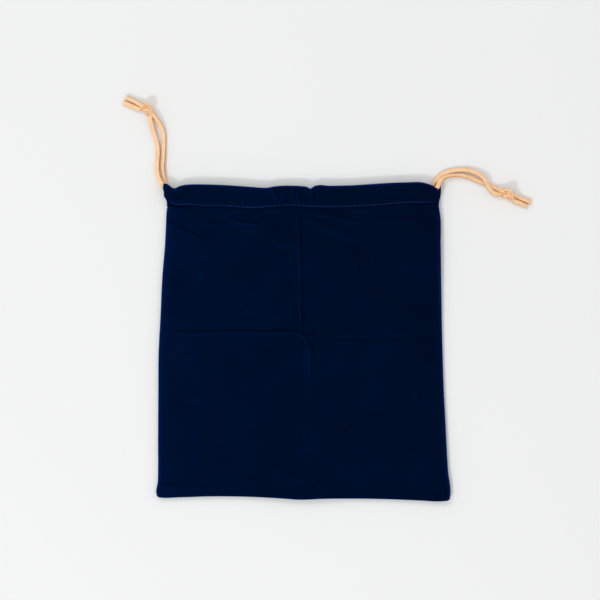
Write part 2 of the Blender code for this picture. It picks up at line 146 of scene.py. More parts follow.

# Folds and wrinkles of the front panel: places along a line, then its half-width, its height and how far its
# pile is lightened, partly as rubbed pile and partly as a painted highlight on the ridge. A negative height
# is a hollow.
FOLDS = [
    ([(-4.2, 98.0), (-3.2, 82.0), (-2.4, 66.0), (-1.8, 50.0), (-1.5, 28.0), (-1.1, 2.0)], 1.0, 0.70, 0.0),
    ([(4.4, -1.0), (4.9, -12.0), (4.6, -26.0)], 2.2, 0.60, 0.35),
    ([(4.2, -22.0), (3.0, -50.0), (1.6, -80.0), (-1.0, -110.0)], 2.0, 0.16, 0.08),
    ([(16.0, -72.0), (40.0, -58.0), (66.0, -50.0), (77.0, -26.0)], 3.8, 0.50, 0.0),
    ([(-101.0, 6.2), (-75.0, 6.0), (-50.0, 6.5), (-25.0, 6.4), (-3.0, 6.2)], 1.0, 0.55, 0.0),
    ([(-22.0, 6.6), (-9.0, 6.5), (2.0, 6.2)], 1.0, 0.40, 0.0),
    ([(10.0, 1.2), (30.0, 1.9), (60.0, 2.8), (97.0, 4.2)], 1.3, -0.30, 0.0),
    ([(-3.5, 6.0), (-0.5, 4.2), (2.0, 2.4)], 0.9, 0.7, 0.5),
    ([(2.0, 2.6), (5.5, 3.6), (9.0, 2.6)], 0.8, 0.6, 0.5),
    ([(2.0, 2.4), (3.4, -1.5), (3.6, -5.5)], 0.9, 0.6, 0.4),
    ([(6.0, 5.0), (9.0, 8.0), (11.5, 12.0)], 1.0, -0.5, 0.0),
    ([(-0.5, 2.0), (1.0, -1.0)], 1.0, -0.5, 0.0),
    ([(-10.4, 107.6), (-13.0, 102.5), (-16.6, 97.0)], 0.9, 1.0, 0.5),
    ([(-8.4, 107.5), (-10.3, 102.0), (-12.4, 97.0)], 0.9, -0.9, 0.0),
    ([(-7.1, 107.5), (-6.4, 102.5), (-5.9, 97.5)], 0.8, 0.8, 0.4),
    ([(-2.8, 108.5), (-3.0, 103.0), (-3.4, 96.5)], 0.9, 1.0, 0.5),
    ([(-5.0, 107.0), (-5.1, 102.0), (-5.3, 97.0)], 0.6, -0.5, 0.0),
    ([(5.2, 108.0), (6.6, 103.0), (6.9, 97.5)], 0.8, 0.8, 0.35),
    ([(8.4, 107.0), (8.5, 102.0), (8.2, 98.0)], 0.8, -0.6, 0.0),
    ([(1.2, 107.5), (1.4, 102.5), (0.8, 98.0)], 1.3, -0.5, 0.0),
    ([(-22.0, 107.8), (-20.0, 103.0), (-18.0, 98.0)], 1.3, 0.8, 0.4),
    ([(-89.8, 108.2), (-90.2, 105.0), (-89.0, 101.0)], 1.4, -0.25, 0.0),
    ([(-94.5, 97.5), (-88.0, 94.6), (-82.0, 94.6)], 1.3, -0.5, 0.0),
    ([(-94.0, 94.0), (-87.0, 92.8), (-80.0, 93.4)], 1.2, 0.4, 0.2),
    ([(-53.5, 86.8), (-47.5, 84.2), (-41.5, 82.8), (-29.5, 82.0)], 1.2, 0.55, 0.0),
    ([(-76.0, 81.4), (-60.0, 81.5), (-46.0, 81.6)], 1.2, 0.16, 0.2),
    ([(-95.0, 84.0), (-87.0, 78.8), (-80.0, 75.4), (-67.0, 70.6)], 1.3, 0.50, 0.1),
    ([(-45.0, 88.6), (-36.0, 90.8), (-25.0, 94.0)], 2.0, -0.6, 0.0),
    ([(-48.0, 91.0), (-40.0, 92.0)], 1.6, 0.35, 0.1),
    ([(7.0, 91.4), (14.0, 89.0), (24.0, 86.0), (34.0, 84.4), (45.0, 83.6)], 1.4, 0.42, 0.0),
    ([(1.0, 86.0), (7.0, 84.6), (15.0, 82.6)], 1.2, 0.45, 0.1),
    ([(4.0, 81.8), (12.0, 79.4), (21.0, 77.6), (30.0, 73.6), (39.0, 69.4)], 2.4, 0.35, 0.3),
    ([(45.0, 88.0), (56.0, 85.4), (70.0, 84.2), (84.0, 84.8)], 1.7, 0.30, 0.0),
    ([(-94.0, 100.4), (-88.0, 98.2), (-79.0, 101.6)], 0.9, 0.5, 0.2),
    ([(93.1, 95.0), (93.7, 80.0), (94.4, 60.0), (95.4, 40.0), (96.6, 12.0)], 0.7, 0.35, 0.8),
    ([(-97.2, 75.0), (-98.0, 50.0), (-99.0, 10.0)], 0.8, -0.28, 0.0),
    ([(-19.0, 68.0), (-11.0, 68.5), (-3.0, 72.0)], 2.6, 0.50, 0.1),
    ([(-103.0, -101.2), (-92.0, -101.4), (-80.0, -101.6)], 0.9, 0.42, 0.0),
    ([(-84.0, -101.8), (-70.0, -102.2), (-56.0, -102.8)], 1.0, 0.15, 0.05),
    ([(-46.0, -95.2), (-40.0, -96.0), (-35.0, -97.0)], 1.0, 0.30, 0.2),
    ([(70.0, -96.5), (84.0, -97.0), (97.0, -96.2)], 1.2, 0.22, 0.05),
    ([(-22.0, -96.5), (-10.0, -95.0), (2.0, -97.0)], 2.4, 0.35, 0.10),
    ([(10.0, -100.0), (18.0, -102.5), (25.0, -103.0)], 1.8, 0.35, 0.12),
]

# Rubbed or linty spots of the front panel: place, then half-width and how light the pile is.
MARKS = [(-69.4, 58.5, 2.2, 0.16), (-72.2, 45.9, 2.4, 0.16), (-81.3, -42.3, 1.6, 0.18),
         (-75.0, -41.0, 1.4, 0.16), (-58.9, -69.0, 1.5, 0.35), (77.6, -38.8, 1.6, 0.50),
         (71.3, 51.5, 1.6, 0.16), (59.4, 89.3, 1.6, 0.20), (-2.2, -77.4, 2.2, 0.14),
         (5.0, -74.0, 1.6, 0.20), (13.0, -98.0, 1.2, 0.25), (18.0, -99.5, 1.2, 0.25),
         (-16.0, -92.0, 2.4, 0.16), (24.0, -93.0, 2.0, 0.14), (36.0, 52.0, 2.0, 0.10),
         (-40.0, 20.0, 3.0, 0.06)]

# Sewing thread, in millimetres.
STITCH_PITCH = 2.8
THREAD_RADIUS = 0.19
STITCH_SPAN = (-93.0, 93.4)
THREAD_SIDES = 6
STITCH_PARTS = 5
STITCH_SHARES = (0.0, 0.1, 0.3, 0.7, 0.9, 1.0)
STITCH_RISES = (-0.30, -0.02, 0.10, 0.10, -0.02, -0.30)
STITCH_SWAY = 0.10
SEAM_TOP = 92.0
SEAM_BOTTOM = -107.0
SEAM_INSET = 0.35

# Routes of the laces from the casing to the knot.
LEFT_FRONT_STRAND = [(-91.5, 104.4, 6.3), (-96.2, 106.9, 5.9), (-98.7, 110.2, 5.2),
                     (-100.7, 114.5, 4.0), (-102.0, 120.8, 2.6), (-101.7, 127.1, 1.7),
                     (-101.4, 133.4, 1.5), (-102.3, 139.7, 1.8), (-104.6, 147.4, 2.6),
                     (-106.2, 153.6, 3.2), (-107.0, 156.4, 3.4)]
LEFT_BACK_STRAND = [(-90.8, 104.2, 2.0), (-94.3, 106.4, 2.0), (-96.0, 110.4, 2.0),
                    (-97.3, 115.5, 1.8), (-98.1, 121.5, 1.6), (-97.7, 127.6, 1.5),
                    (-97.5, 136.3, 1.5), (-97.5, 144.1, 1.9), (-98.9, 149.6, 2.5),
                    (-101.2, 153.6, 3.2), (-103.3, 156.9, 3.4)]
RIGHT_FRONT_STRAND = [(88.4, 106.3, 6.3), (91.6, 106.2, 6.3), (93.7, 107.5, 6.1), (94.7, 110.2, 5.5),
                      (96.2, 113.0, 4.9), (100.4, 115.4, 3.6), (107.0, 116.3, 2.2),
                      (112.4, 115.9, 1.6), (118.3, 114.0, 1.4), (123.3, 111.8, 1.3),
                      (127.4, 110.3, 1.2), (131.3, 108.6, 1.6), (135.2, 106.9, 2.5)]
RIGHT_BACK_STRAND = [(87.2, 107.4, 2.0), (90.2, 109.0, 2.0), (92.4, 112.2, 2.0),
                     (96.0, 116.2, 1.9), (101.2, 118.6, 1.7), (107.0, 119.8, 1.6),
                     (112.4, 120.1, 1.7), (118.3, 119.0, 2.2), (123.3, 116.6, 3.2),
                     (126.6, 113.4, 4.2), (128.4, 109.9, 4.4), (130.0, 106.9, 3.8),
                     (132.4, 104.4, 3.0), (135.4, 102.9, 3.2)]
# Knots: centre, heading from the strands to the tails, and roll. Tails go with the front and back strands.
LEFT_KNOT = ((-109.0, 162.1, 3.3), math.radians(138), math.radians(135))
LEFT_TAILS = [[(-113.6, 162.2, 3.0), (-117.4, 163.6, 2.0), (-121.4, 165.3, 1.4), (-125.8, 167.2, 1.2)],
              [(-112.6, 165.2, 3.0), (-115.9, 166.9, 2.2), (-119.5, 168.7, 1.5), (-123.8, 170.6, 1.2)]]
RIGHT_KNOT = ((142.6, 102.7, 3.3), math.radians(-20), math.radians(45))
RIGHT_TAILS = [[(147.6, 102.0, 3.0), (152.4, 100.1, 1.7), (159.3, 97.4, 1.2)],
               [(146.6, 98.8, 3.0), (151.2, 97.0, 1.7), (156.7, 94.3, 1.2)]]
# How the laces are rolled over outside the casing: where the roll starts, how soon it is full, the
# length and depth of its wave, and the reach of the lace's edge, as a share of its width. Then how
# far each lace's front strand and back strand are turned, in radians.
ROLL_START = 6.0
ROLL_RISE = 10.0
ROLL_LENGTH = 9.0
ROLL_WAVE = 0.3
EDGE_REACH = 0.45
LEFT_TURNS = (-0.5, -0.7)
RIGHT_TURNS = (-0.8, -0.25)


def smooth(value):
    """0 below 0, 1 above 1, and an even slope between."""
    clamped = np.clip(value, 0.0, 1.0)
    return clamped * clamped * (3.0 - 2.0 * clamped)


def read_edge(knots, at):
    """Heights of a smooth line through knots at given places, all in millimetres."""
    xs = np.array([k[0] for k in knots], float)
    ys = np.array([k[1] for k in knots], float)
    slopes = np.gradient(ys, xs)
    place = np.clip(at, xs[0], xs[-1])
    span = np.clip(np.searchsorted(xs, place, side="right") - 1, 0, len(xs) - 2)
    width = xs[span + 1] - xs[span]
    part = (place - xs[span]) / width
    bend = part * part * (3.0 - 2.0 * part)
    lead = part * (1.0 - part) ** 2 * width * slopes[span]
    trail = part * part * (part - 1.0) * width * slopes[span + 1]
    return ys[span] + (ys[span + 1] - ys[span]) * bend + lead + trail


# ---------------------------------------------------------------- stage

def make_camera():
    """A camera straight above the pouch."""
    data = bpy.data.cameras.new("camera")
    data.type = 'PERSP'
    data.sensor_width = SENSOR_WIDTH
    data.lens = SENSOR_WIDTH * CAMERA_HEIGHT / FRAME_WIDTH
    data.clip_start = 0.01
    camera = bpy.data.objects.new("camera", data)
    camera.location = (*FRAME_CENTRE, CAMERA_HEIGHT)
    bpy.context.collection.objects.link(camera)
    bpy.context.scene.camera = camera


def make_light(name, direction, distance, size, power):
    """A square soft light that looks at the pouch from a direction."""
    data = bpy.data.lights.new(name, 'AREA')
    data.shape = 'SQUARE'
    data.size = size
    data.energy = power
    light = bpy.data.objects.new(name, data)
    away = np.array(direction, float)
    away /= np.linalg.norm(away)
    light.location = away * distance
    tilt = math.acos(away[2])
    turn = math.atan2(away[1], away[0])
    light.rotation_euler = (0.0, tilt, turn)
    bpy.context.collection.objects.link(light)


def make_stage():
    """Even world light, two lamps and the pale surface below."""
    world = bpy.data.worlds.new("studio")
    world.use_nodes = True
    background = world.node_tree.nodes["Background"]
    background.inputs["Color"].default_value = (1.0, 1.0, 1.0, 1.0)
    background.inputs["Strength"].default_value = WORLD_STRENGTH
    bpy.context.scene.world = world
    bpy.context.scene.view_settings.view_transform = 'Standard'
    make_light("key", *KEY_LIGHT)
    make_light("fill", *FILL_LIGHT)

    data = bpy.data.meshes.new("floor")
    half = FLOOR_HALF
    data.from_pydata([(-half, -half, 0), (half, -half, 0), (half, half, 0), (-half, half, 0)], [],
                     [(0, 1, 2, 3)])
    floor = bpy.data.objects.new("floor", data)
    bpy.context.collection.objects.link(floor)
    material, _, _, shader = new_material("floor_paper")
    shader.inputs["Base Color"].default_value = FLOOR_COLOUR
    shader.inputs["Roughness"].default_value = 0.9
    shader.inputs["Specular IOR Level"].default_value = 0.1
    data.materials.append(material)


# ---------------------------------------------------------------- materials

def new_material(name):
    """A material with its nodes, links and main shader."""
    material = bpy.data.materials.new(name)
    material.use_nodes = True
    tree = material.node_tree
    return material, tree.nodes, tree.links, tree.nodes["Principled BSDF"]


def noise(nodes, links, scale, detail, roughness):
    """A noise texture in object space; scale is in features per metre."""
    place = nodes.new("ShaderNodeTexCoord")
    texture = nodes.new("ShaderNodeTexNoise")
    texture.inputs["Scale"].default_value = scale
    texture.inputs["Detail"].default_value = detail
    texture.inputs["Roughness"].default_value = roughness
    links.new(place.outputs["Object"], texture.inputs["Vector"])
    return texture.outputs["Fac"]


def ramp(nodes, links, value, stops):
    """Colours by value, for (place, (r, g, b)) stops."""
    node = nodes.new("ShaderNodeValToRGB")
    elements = node.color_ramp.elements
    while len(elements) < len(stops):
        elements.new(0.5)
    for element, (place, colour) in zip(elements, stops):
        element.position = place
        element.color = (*colour, 1.0)
    links.new(value, node.inputs["Fac"])
    return node.outputs["Color"]


def mix_colour(nodes, links, share, first, second, blend='MIX'):
    """The colour of two inputs mixed by a share."""
    node = nodes.new("ShaderNodeMix")
    node.data_type = 'RGBA'
    node.blend_type = blend
    set_input(links, node.inputs[0], share)
    set_input(links, node.inputs[6], first)
    set_input(links, node.inputs[7], second)
    return node.outputs[2]


def set_input(links, socket, value):
    """Links a socket to an input, or sets the input's own value."""
    if isinstance(value, bpy.types.NodeSocket):
        links.new(value, socket)
    else:
        socket.default_value = value


def bump(nodes, links, height, distance, strength, base=None):
    """A bumped normal; distance is in metres."""
    node = nodes.new("ShaderNodeBump")
    node.inputs["Strength"].default_value = strength
    node.inputs["Distance"].default_value = distance
    links.new(height, node.inputs["Height"])
    if base is not None:
        links.new(base, node.inputs["Normal"])
    return node.outputs["Normal"]


def velvet_material():
    """Navy velvet, lighter or darker by the cloth's nap attribute, which carries painted light, painted shade
    and painted rim sheen as well as rubbed pile and marks.
    """
    material, nodes, links, shader = new_material("navy_velvet")
    mottle = noise(nodes, links, 28.0, 3.0, 0.6)
    base = ramp(nodes, links, mottle, [(0.3, (0.0, 0.0034, 0.0160)), (0.7, (0.0, 0.0047, 0.0220))])
    # The nap attribute holds rubbed pile and lint marks together with painted light, painted shade and
    # painted rim sheen.
    pile_and_painted_light_input = nodes.new("ShaderNodeAttribute")
    pile_and_painted_light_input.attribute_name = "nap"
    share = nodes.new("ShaderNodeMapRange")
    share.inputs["From Min"].default_value = -1.0
    links.new(pile_and_painted_light_input.outputs["Fac"], share.inputs["Value"])
    # Painted shade: the colour is darkened where the nap value is below zero.
    painted_shade_tone = ramp(nodes, links, share.outputs["Result"], [(0.0, (0.0, 0.12, 0.16)), (0.5, (1.0, 1.0, 1.0))])
    # Painted highlight and rubbed pile: lighter blue is added where the nap value is above zero.
    light = ramp(nodes, links, share.outputs["Result"], [(0.5, (0.0, 0.0, 0.0)), (1.0, (0.0, 0.0075, 0.070))])
    base_with_painted_shade = mix_colour(nodes, links, 1.0, base, painted_shade_tone, 'MULTIPLY')
    links.new(mix_colour(nodes, links, 1.0, base_with_painted_shade, light, 'ADD'), shader.inputs["Base Color"])
    shader.inputs["Roughness"].default_value = 0.95
    shader.inputs["Specular IOR Level"].default_value = 0.0
    shader.inputs["Sheen Weight"].default_value = 0.34
    shader.inputs["Sheen Roughness"].default_value = 0.35
    shader.inputs["Sheen Tint"].default_value = (0.03, 0.14, 0.68, 1.0)
    fine = noise(nodes, links, 2600.0, 2.0, 0.6)
    clump = noise(nodes, links, 420.0, 3.0, 0.6)
    soft = bump(nodes, links, clump, 0.00025, 0.6)
    links.new(bump(nodes, links, fine, 0.00012, 0.8, soft), shader.inputs["Normal"])
    return material


def suede_material():
    """Tan suede, darker on its cut sides: partly the raw cut edge's own colour, partly painted shade where
    strands lie against each other.
    """
    material, nodes, links, shader = new_material("tan_suede")
    blotch = noise(nodes, links, 260.0, 3.0, 0.6)
    tone = ramp(nodes, links, blotch, [(0.25, (0.87, 0.53, 0.29)), (0.75, (0.96, 0.67, 0.41))])
    nap = noise(nodes, links, 2400.0, 3.0, 0.7)
    shade = ramp(nodes, links, nap, [(0.3, (0.90, 0.88, 0.86)), (0.7, (1.0, 1.0, 1.0))])
    surface = mix_colour(nodes, links, 0.8, tone, shade, 'MULTIPLY')
    side = nodes.new("ShaderNodeAttribute")
    side.attribute_name = "cut_side"
    # Cut sides are painted darker brown: partly the raw cut edge's colour, partly painted shade between
    # touching strands.
    links.new(mix_colour(nodes, links, side.outputs["Fac"], surface, (0.56, 0.24, 0.075, 1.0)),
              shader.inputs["Base Color"])
    shader.inputs["Roughness"].default_value = 0.9
    shader.inputs["Specular IOR Level"].default_value = 0.15
    shader.inputs["Sheen Weight"].default_value = 0.2
    shader.inputs["Sheen Tint"].default_value = (1.0, 0.85, 0.65, 1.0)
    links.new(bump(nodes, links, nap, 0.00012, 0.7), shader.inputs["Normal"])
    return material


def thread_material():
    """Navy sewing thread."""
    material, nodes, links, shader = new_material("navy_thread")
    twist = noise(nodes, links, 3000.0, 1.0, 0.5)
    tone = ramp(nodes, links, twist, [(0.3, (0.004, 0.018, 0.090)), (0.7, (0.009, 0.045, 0.210))])
    links.new(tone, shader.inputs["Base Color"])
    shader.inputs["Roughness"].default_value = 0.55
    shader.inputs["Specular IOR Level"].default_value = 0.2
    return material


# ---------------------------------------------------------------- laces

def smooth_curve(points, spacing):
    """Points at even spacing along a smooth curve through points."""
    points = np.array(points, float)
    ends = np.vstack((2 * points[0] - points[1], points, 2 * points[-1] - points[-2]))
    dense = []
    for n in range(1, len(ends) - 2):
        before, start, end, after = ends[n - 1:n + 3]
        chord = np.linalg.norm(end - start)
        leave = (end - before) * chord / (chord + np.linalg.norm(start - before))
        arrive = (after - start) * chord / (chord + np.linalg.norm(after - end))
        t = np.linspace(0.0, 1.0, 24, endpoint=False)[:, None]
        dense.append(start * (2 * t ** 3 - 3 * t ** 2 + 1) + leave * (t ** 3 - 2 * t ** 2 + t)
                     + end * (3 * t ** 2 - 2 * t ** 3) + arrive * (t ** 3 - t ** 2))
    dense = np.vstack(dense + [points[-1:]])
    return even_points(dense, spacing)


def even_points(points, spacing):
    """The same line with points at even spacing."""
    along = np.concatenate(([0.0], np.cumsum(np.linalg.norm(np.diff(points, axis=0), axis=1))))
    count = max(int(round(along[-1] / spacing)), 2) + 1
    places = np.linspace(0.0, along[-1], count)
    return np.column_stack([np.interp(places, along, points[:, k]) for k in range(3)])


def line_length(points):
    """Length along a line of points."""
    return float(np.linalg.norm(np.diff(points, axis=0), axis=1).sum())


def knot_loop(t, spread, lift):
    """Open overhand knot: three crossings, over and under by turns."""
    x = t ** 3 - 3 * t
    y = t ** 4 - 4 * t ** 2 + 2.2
    z = -t * (t ** 2 - 1.44) * (t ** 2 - 3.39)
    return np.column_stack((x * spread, y * spread, z * lift))


def tie_knot(thickness, rounds):
    """Two strands side by side, tied in one overhand knot and pulled tight along x."""
    t = np.linspace(-2.02, 2.02, 120)
    middle = knot_loop(t, 2.6, 1.2)
    run = np.linspace(1.0, 0.0, 20)[:, None]
    left_end = middle[0] + run * (np.array((-12.0, 0.0, 0.0)) - middle[0])
    right_end = middle[-1] + run[::-1] * (np.array((12.0, 0.0, 0.0)) - middle[-1])
    line = even_points(np.vstack((left_end[:-1], middle, right_end[1:])), 0.8)
    side = np.cross(UP, np.gradient(line, axis=0))
    side /= np.linalg.norm(side, axis=1)[:, None]
    pair = [line + side * thickness / 2, line - side * thickness / 2]
    count = len(line)
    points = np.vstack(pair)
    rest = np.concatenate([np.linalg.norm(np.diff(p, axis=0), axis=1) for p in pair])
    whole = (rest[:count - 1].sum(), rest[count - 1:].sum())
    first = np.concatenate((np.arange(count - 1), count + np.arange(count - 1)))
    index = np.tile(np.arange(count), 2)
    strand = np.repeat((0, 1), count)
    near = (np.abs(index[:, None] - index[None, :]) < 4) & (strand[:, None] == strand[None, :])
    far_pairs = np.argwhere(np.triu(~near, 1))
    a, b = far_pairs[:, 0], far_pairs[:, 1]
    inner = np.concatenate((np.arange(1, count - 1), count + np.arange(1, count - 1)))
    ends = np.array([0, count - 1, count, 2 * count - 1])
    goal = points[ends].copy()
    halves = [(first[index[first] % 2 == k], rest[index[first] % 2 == k]) for k in (0, 1)]
    for _ in range(rounds):
        for k in (0, 1):
            length = line_length(points[k * count:(k + 1) * count]) / whole[k]
            pull = KNOT_PULL * max(0.0, min(1.0, (KNOT_STRETCH - length) / KNOT_EASE))
            goal[2 * k, 0] -= pull
            goal[2 * k + 1, 0] += pull
        goal[:2, 1] += (thickness / 2 - goal[:2, 1]) * KNOT_CENTRING
        goal[2:, 1] += (-thickness / 2 - goal[2:, 1]) * KNOT_CENTRING
        points[inner] += KNOT_SMOOTHING * ((points[inner - 1] + points[inner + 1]) / 2 - points[inner])
        points[:, 2] *= KNOT_FLATTENING
        points[ends] = goal
        for pick, wanted in halves * 4:
            gap = points[pick + 1] - points[pick]
            length = np.linalg.norm(gap, axis=1)
            shift = gap * ((length - wanted) / length / 2)[:, None]
            points[pick] += shift
            points[pick + 1] -= shift
        points[ends] = goal
        gap = points[b] - points[a]
        distance = np.linalg.norm(gap, axis=1)
        hit = distance < thickness
        share = (thickness - distance[hit]) / np.maximum(distance[hit], 1e-6) * KNOT_PUSH
        push = gap[hit] * share[:, None]
        np.add.at(points, a[hit], -push)
        np.add.at(points, b[hit], push)
    return points[:count], points[count:]


def lace_mesh(name, path, normals, widths, thicknesses, squeezed, material):
    """A flat lace with rounded edges, swept along path; everything in millimetres."""
    tangent = np.gradient(path, axis=0)
    tangent /= np.linalg.norm(tangent, axis=1)[:, None]
    normal = normals - tangent * np.sum(normals * tangent, axis=1)[:, None]
    normal /= np.linalg.norm(normal, axis=1)[:, None]
    across = np.cross(tangent, normal)
    angles = np.linspace(0.0, 2 * math.pi, 16, endpoint=False)
    power = 0.62
    flat = np.sign(np.cos(angles)) * np.abs(np.cos(angles)) ** power
    tall = np.sign(np.sin(angles)) * np.abs(np.sin(angles)) ** power
    rings = (path[:, None, :]
             + across[:, None, :] * (flat[None, :, None] * widths[:, None, None] / 2)
             + normal[:, None, :] * (tall[None, :, None] * thicknesses[:, None, None] / 2))
    rings[:, :, 2] = np.maximum(rings[:, :, 2], FLOOR_GAP)
    count, sides = len(path), len(angles)
    faces = []
    for i in range(count - 1):
        for k in range(sides):
            after = (k + 1) % sides
            faces.append((i * sides + k, i * sides + after, (i + 1) * sides + after, (i + 1) * sides + k))
    faces.append(tuple(range(sides))[::-1])
    faces.append(tuple((count - 1) * sides + k for k in range(sides)))
    data = bpy.data.meshes.new(name)
    data.from_pydata((rings.reshape(-1, 3) * MM).tolist(), [], faces)
    # Darkening of the lace's cut sides, less inside the knot: partly the raw edge's colour, partly painted
    # shade.
    side = smooth((np.abs(np.cos(angles)) - 0.80) / 0.20)
    cut = (side[None, :] * (1.0 - 0.6 * squeezed[:, None])).reshape(-1)
    data.attributes.new("cut_side", 'FLOAT', 'POINT').data.foreach_set("value", cut.astype(np.float32))
    data.materials.append(material)
    data.shade_smooth()
    obj = bpy.data.objects.new(name, data)
    bpy.context.collection.objects.link(obj)
    return obj


def settle(points):
    """Brings route heights down to the visual casing, keeping the lace on the surface."""
    settled = np.array(points, float)
    settled[:, 2] = np.maximum(settled[:, 2] * SETTLE, LACE_THICKNESS / 2 + FLOOR_GAP)
    return settled


def lay_knot(strands, centre, heading, roll):
    """Places the tied pair at a knot's centre, rolled about its length and headed to the tails."""
    cosine, sine = math.cos(heading), math.sin(heading)
    placed = []
    for strand in strands:
        held = strand[np.abs(strand[:, 0]) < KNOT_HALF]
        x = held[:, 0]
        y = held[:, 1] * math.cos(roll) - held[:, 2] * math.sin(roll)
        z = held[:, 1] * math.sin(roll) + held[:, 2] * math.cos(roll)
        turned = np.column_stack((x * cosine - y * sine, x * sine + y * cosine, z))
        placed.append(turned + np.array(centre))
    return placed


def rolled(path, normals, roll):
    """Normals turned about the path."""
    tangent = np.gradient(path, axis=0)
    tangent /= np.linalg.norm(tangent, axis=1)[:, None]
    side = np.cross(tangent, normals)
    return normals * np.cos(roll)[:, None] + side * np.sin(roll)[:, None]


def make_end(name, lead, route, knot_line, tail, knot_centre, turn, material):
    """One free end of a lace: from lead, inside the casing, through the knot to its cut tail."""
    mouth = settle(route)[0]
    route = np.vstack((lead, settle(route)))
    tail = settle(tail)
    route = route[np.linalg.norm(route - knot_line[0], axis=1) > KNOT_JOIN]
    tail = tail[np.linalg.norm(tail - knot_line[-1], axis=1) > KNOT_JOIN]
    path = smooth_curve(np.vstack((route, knot_line, tail)), LACE_STEP)
    for _ in range(3):
        path[1:-1] = (path[:-2] + path[1:-1] * 2 + path[2:]) / 4
    path = path[np.argmin(np.linalg.norm(path - mouth, axis=1)):]
    away = path - np.array(knot_centre)
    distance = np.linalg.norm(away, axis=1)
    inside = np.exp(-(distance / KNOT_REACH) ** 6)
    along = np.arange(len(path)) * LACE_STEP
    wave = 1.0 - ROLL_WAVE + ROLL_WAVE * np.sin(along / ROLL_LENGTH)
    roll = turn * wave * smooth((along - ROLL_START) / ROLL_RISE) * (1.0 - inside)
    half_height = LACE_THICKNESS / 2 * np.cos(roll) + EDGE_REACH * LACE_WIDTH * np.abs(np.sin(roll))
    path[:, 2] = np.maximum(path[:, 2], half_height + FLOOR_GAP)
    normals = UP * (1 - inside[:, None]) + away / (distance[:, None] + 1e-6) * inside[:, None] * 1.5
    for _ in range(6):
        normals[1:-1] = (normals[:-2] + normals[1:-1] * 2 + normals[2:]) / 4
    normals = rolled(path, normals, roll)
    widths = LACE_WIDTH + (KNOT_WIDTH - LACE_WIDTH) * inside
    thick = LACE_THICKNESS + (KNOT_THICKNESS - LACE_THICKNESS) * inside
    piece = lace_mesh(name, path, normals, widths, thick, inside, material)
    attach(piece, "root")
    return piece


def casing_run(lane, lane_depth, lead_front, lead_back):
    """Route of a lace through the front casing, round at its far end, and back."""
    start, far = lane
    steps = round(abs(far - start) / LANE_STEP)
    back_z = BACK_REST + CHANNEL / 2
    front_z = back_z + CHANNEL + PRESS
    across = np.linspace(start, far, steps + 1)
    depth = read_edge(TOP_EDGE, across) - lane_depth
    there = np.column_stack((across, depth, np.full(len(across), front_z)))
    back = np.column_stack((across, depth, np.full(len(across), back_z)))[::-1]
    radius = (front_z - back_z) / 2
    onward = 1 if far > start else -1
    loop = []
    for angle in np.linspace(0.0, math.pi, 5)[1:-1]:
        x = far + onward * radius * math.sin(angle)
        z = back_z + radius * (1 + math.cos(angle))
        loop.append((x, depth[-1], z))
    return np.vstack((lead_front, there, loop, back, lead_back))


def make_drawcord(side, strands, tails, lane, lane_depth, knot, turns, tied, material):
    """One lace: its run inside the casings, then its two free ends."""
    centre, heading, roll = knot
    front, back = (settle(strand) for strand in strands)
    route = casing_run(lane, lane_depth, front[1::-1], back[:2])
    leads = (route[3:1:-1], route[-4:-2])
    run = smooth_curve(route, LACE_STEP)
    first = np.argmin(np.linalg.norm(run - front[0], axis=1))
    last = np.argmin(np.linalg.norm(run - back[0], axis=1))
    run = run[first:last + 1]
    normals = np.cross(np.gradient(run, axis=0), np.tile((0.0, 1.0, 0.0), (len(run), 1)))
    piece = lace_mesh(f"{side}_drawcord_in_casing", run, normals, np.full(len(run), LACE_WIDTH),
                      np.full(len(run), LACE_THICKNESS), np.zeros(len(run)), material)
    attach(piece, "root")
    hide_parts(f"{side}_drawcord")
    lines = lay_knot(tied, centre, heading, roll)
    labels = ("front_end", "back_end")
    for label, lead, strand, line, tail, turn in zip(labels, leads, strands, lines, tails, turns):
        end = make_end(f"{side}_drawcord_{label}", lead, strand, line, tail, centre, turn, material)
        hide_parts(f"{side}_drawcord")


# ---------------------------------------------------------------- cloth

def layer_height(number):
    """Middle of a pressed layer, counted up from the surface below."""
    return BACK_REST + number * PRESS


def graded(low, high, coarse, fine, zones):
    """Places from low to high, fine inside (centre, half-width) zones and coarse elsewhere."""
    probe = np.linspace(low, high, 4001)
    spacing = np.full(len(probe), coarse, float)
    for centre, half in zones:
        near = 1.0 - smooth((np.abs(probe - centre) - half) / (0.6 * half + 2.0))
        spacing = np.minimum(spacing, coarse + (fine - coarse) * near)
    density = np.concatenate(([0.0], np.cumsum(np.diff(probe) / spacing[1:])))
    count = int(math.ceil(density[-1]))
    return np.interp(np.linspace(0.0, density[-1], count + 1), density, probe)


def casing_depth(x, y):
    """Depth below the top fold, scaled so that the row of stitches is at STITCH_DEPTH."""
    top = read_edge(TOP_EDGE, x)
    return (top - y) * STITCH_DEPTH / (top - read_edge(STITCH_LINE, x))


def at_depth(x, depth):
    """Height in the panel of a casing depth; the inverse of casing_depth."""
    top = read_edge(TOP_EDGE, x)
    return top - depth * (top - read_edge(STITCH_LINE, x)) / STITCH_DEPTH


def channel_rise(depth):
    """1 where the casing stands open round the laces, 0 where it is pressed."""
    return 1.0 - smooth((depth - CHANNEL_DEPTH) / (PRESSED_DEPTH - CHANNEL_DEPTH))


def whole_lift(x, y):
    """Places where the whole pouch rises a little off the surface."""
    middle = 1.7 * np.exp(-((x - 2.0) / 30.0) ** 2) * smooth((-78.0 - y) / 34.0)
    corner = 1.0 * np.exp(-((x - 101.0) / 14.0) ** 2) * smooth((-88.0 - y) / 24.0)
    right = 1.3 * np.exp(-((x - 97.0) / 16.0) ** 2) * smooth((y - 30.0) / 30.0) * smooth((98.0 - y) / 12.0)
    waves = 0.25 * (1 + np.sin(x / 21.0 + 0.7) * np.sin(y / 26.0 + 1.9)) * smooth((92.0 - y) / 24.0)
    return middle + corner + right + waves


